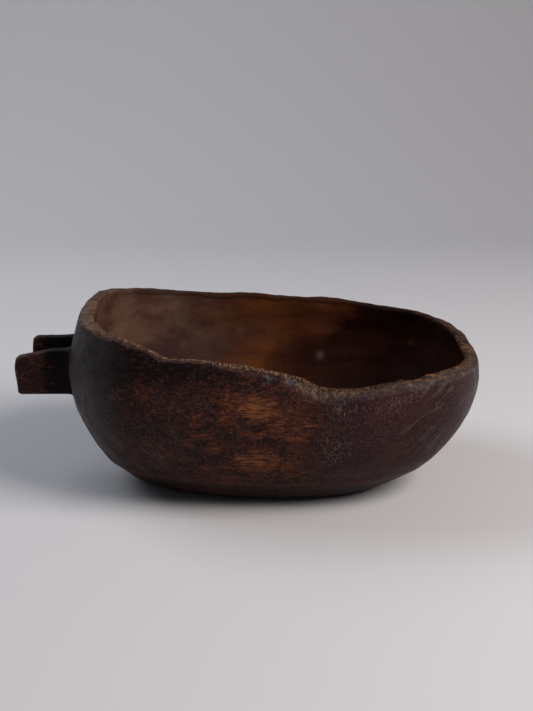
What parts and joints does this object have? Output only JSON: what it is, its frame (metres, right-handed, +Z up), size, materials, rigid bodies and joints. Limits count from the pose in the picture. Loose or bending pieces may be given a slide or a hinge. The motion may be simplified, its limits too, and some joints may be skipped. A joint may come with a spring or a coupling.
{
  "type": "feed scoop",
  "caption": "Hand-carved oval wooden scoop: a hollow bowl with a sloping, worn rim, a flat foot and short handle prongs with a finger gap.",
  "frame": {"origin": "middle of the whole scoop's footprint, on the surface it stands on", "axes": "+X along the length, from the prongs to the pouring lip; +Z up, out of the bowl; -Y to the side with the worn hollow in the rim"},
  "size_m": [0.325, 0.2104, 0.1246],
  "materials": {
    "bowl_wood": "dark waxy patina, satin, worn to bare red-brown wood on the side and to tan along the rim",
    "prong_wood": "near-black patina, satin, worn brown at the tips"
  },
  "bodies": {
    "root": {"hewn_bowl": "bowl_wood", "near_prong": "prong_wood", "far_prong": "prong_wood"}
  },
  "joints": []
}
